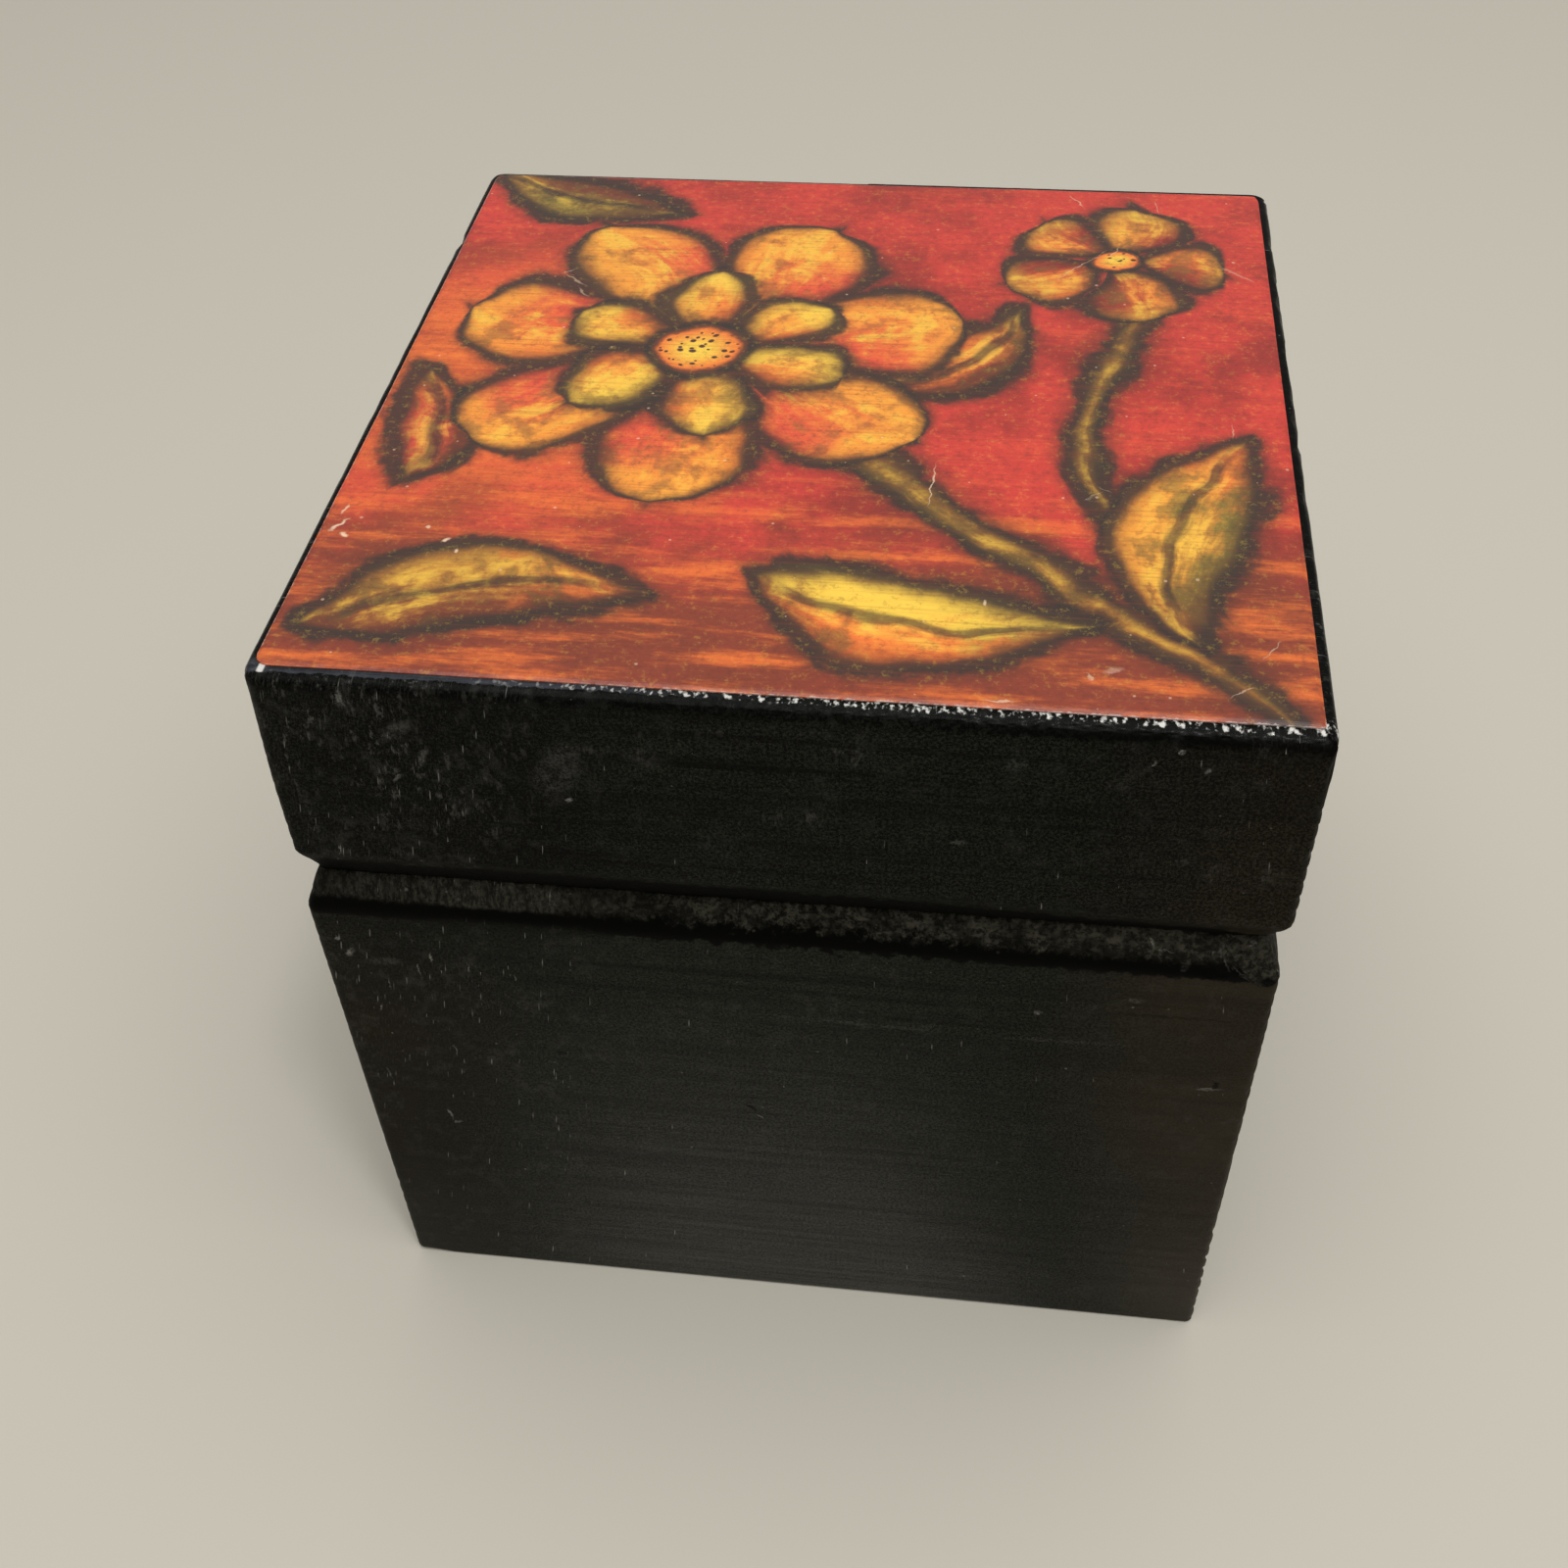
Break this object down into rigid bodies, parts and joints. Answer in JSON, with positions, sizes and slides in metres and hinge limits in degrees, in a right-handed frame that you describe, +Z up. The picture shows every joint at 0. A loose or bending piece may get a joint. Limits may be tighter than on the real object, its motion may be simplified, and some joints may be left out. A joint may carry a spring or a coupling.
{
  "type": "lacquered trinket box",
  "caption": "Near-cubic wooden trinket box in brushed black lacquer, with a V groove at the seam and a lift-off lid that carries a varnished picture sheet.",
  "frame": {"origin": "centre of the underside, on the surface that the box stands on", "axes": "+Z up, +X to the right when facing the front, front face towards -Y"},
  "size_m": [0.1, 0.1006, 0.1004],
  "materials": {
    "black_lacquer": "black lacquer brushed over wood, semi-gloss, worn at the edges",
    "bare_wood": "bare sanded softwood",
    "varnished_picture": "printed paper under gloss varnish"
  },
  "bodies": {
    "base": {"base_floor_panel": "bare_wood", "base_front_board": "black_lacquer", "base_rear_board": "black_lacquer", "base_left_board": "black_lacquer", "base_right_board": "black_lacquer", "lining_front_board": "bare_wood", "lining_rear_board": "bare_wood", "lining_left_board": "bare_wood", "lining_right_board": "bare_wood"},
    "lid": {"lid_front_rail": "black_lacquer", "lid_rear_rail": "black_lacquer", "lid_left_rail": "black_lacquer", "lid_right_rail": "black_lacquer", "lid_top_panel": "black_lacquer", "picture_sheet": "varnished_picture"}
  },
  "joints": [
    {"name": "lid_lift", "type": "slide", "parent": "base", "child": "lid", "axis": [0, 0, 1], "range_m": [0, 0.06]}
  ]
}
